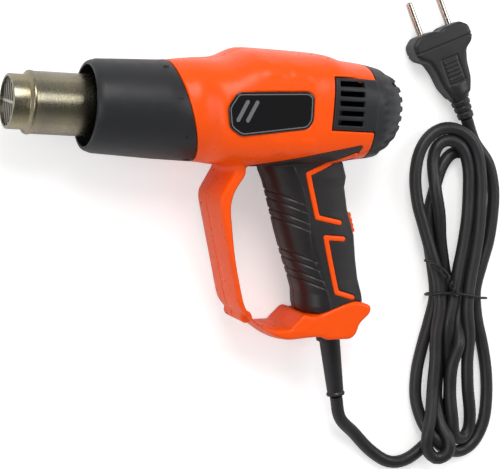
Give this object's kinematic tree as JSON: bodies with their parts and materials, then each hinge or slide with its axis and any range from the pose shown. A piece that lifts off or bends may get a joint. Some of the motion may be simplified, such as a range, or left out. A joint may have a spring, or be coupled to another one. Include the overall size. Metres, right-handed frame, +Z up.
{
  "type": "heat gun",
  "caption": "Hot-air gun with a steel nozzle, slotted rear air intake, soft grip inside a full hand guard, rear slide switch, and a mains cord tied in a hank with its plug.",
  "frame": {"origin": "on the table plane below the middle of the gun without its cord, as it lies on its right side", "axes": "+X from the nozzle's mouth to the rear cap, +Y from the handle to the top of the body, +Z up from the table to the gun's left side"},
  "size_m": [0.3084, 0.2763, 0.0753],
  "materials": {
    "nozzle_steel": "bright stainless tube, straw and brown heat tints",
    "sleeve_black": "fine-textured black heat-resistant plastic",
    "housing_orange": "satin orange moulded plastic",
    "cap_black": "fine-textured black plastic",
    "plate_black": "glossy black plate",
    "grip_rubber": "soft matte black rubber",
    "mica": "layered mica sheet",
    "ceramic": "unglazed white ceramic",
    "coil_wire": "oxidised resistance wire",
    "zinc_steel": "zinc-plated steel",
    "fan_plastic": "dark grey moulded plastic",
    "copper_winding": "lacquered copper windings on dark laminations",
    "motor_plastic": "dark moulded motor end",
    "switch_black": "black switch plastic",
    "slider_orange": "ribbed orange plastic",
    "board_green": "green circuit board",
    "wire_red": "insulated wire",
    "block_white": "white terminal block",
    "screw_dark": "blackened steel screws",
    "cord_black": "matte black cord jacket",
    "plug_black": "black moulded plug",
    "pin_nickel": "nickel-plated pins",
    "tie_black": "black coated wire tie"
  },
  "bodies": {
    "gun": {"nozzle_tube": "nozzle_steel", "nozzle_grille": "nozzle_steel", "front_sleeve": "sleeve_black", "mica_tube": "mica", "heater_core": "ceramic", "heating_coils": "coil_wire", "heater_mount": "ceramic", "thermal_fuse": "zinc_steel", "air_duct": "fan_plastic", "motor_can": "zinc_steel", "motor_end_cap": "motor_plastic", "motor_mount": "fan_plastic", "housing_left": "housing_orange", "housing_right": "housing_orange", "housing_screws": "screw_dark", "rear_cap": "cap_black", "badge_left": "plate_black", "badge_right": "plate_black", "grip_left": "grip_rubber", "grip_right": "grip_rubber", "switch_body": "switch_black", "control_board": "board_green", "wiring": "wire_red", "terminal_block": "block_white", "cord_clamp": "fan_plastic", "clamp_screws": "zinc_steel", "cord_sleeve": "cord_black", "cord_entry": "cord_black", "cord_lead": "cord_black", "cord_hank": "cord_black", "cord_tail": "cord_black", "cord_tie": "tie_black", "plug_body": "plug_black", "plug_pins": "pin_nickel"},
    "rotor": {"fan_wheel": "fan_plastic", "motor_shaft": "zinc_steel", "motor_armature": "copper_winding"},
    "slider": {"switch_slider": "slider_orange"}
  },
  "joints": [
    {"name": "fan_spin", "type": "hinge", "parent": "gun", "child": "rotor", "pos_m": [0.0265, 0.05981, 0.03708], "axis": [1, 0, 0], "continuous": true},
    {"name": "switch_slide", "type": "slide", "parent": "gun", "child": "slider", "axis": [-0.3256, 0.9362, 0.1326], "range_m": [0, 0.008]}
  ]
}
